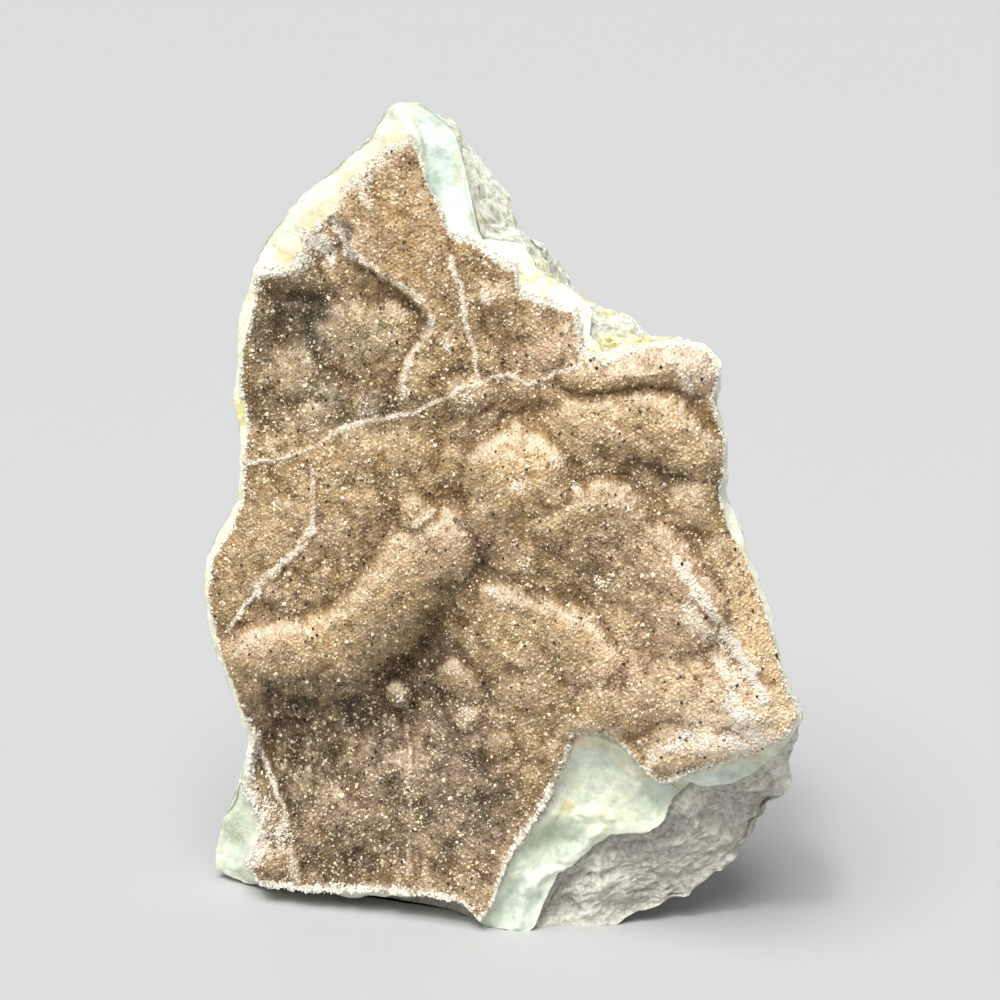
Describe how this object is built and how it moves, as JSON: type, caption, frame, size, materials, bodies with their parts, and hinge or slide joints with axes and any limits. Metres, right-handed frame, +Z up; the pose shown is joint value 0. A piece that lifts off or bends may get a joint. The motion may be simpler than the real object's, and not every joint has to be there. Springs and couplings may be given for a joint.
{
  "type": "drusy quartz geode specimen",
  "caption": "Broken piece of a geode wall: brown drusy quartz crust on a pale green chalcedony band on grey host rock, standing on a flat underside.",
  "frame": {"origin": "on the table, under the middle of the specimen's bounding box", "axes": "+Z up, -Y the way that the crystal face looks, +X to the right of the crystal face as a viewer sees it"},
  "size_m": [0.1077, 0.0664, 0.144],
  "materials": {
    "drusy_quartz": "sparkling crust of tiny brown quartz crystals",
    "chalcedony": "waxy, slightly translucent pale green chalcedony",
    "host_rock": "dull, rough, weathered grey basalt"
  },
  "bodies": {
    "root": {"druse_crust": "drusy_quartz", "agate_rind": "chalcedony", "basalt_matrix": "host_rock"}
  },
  "joints": []
}
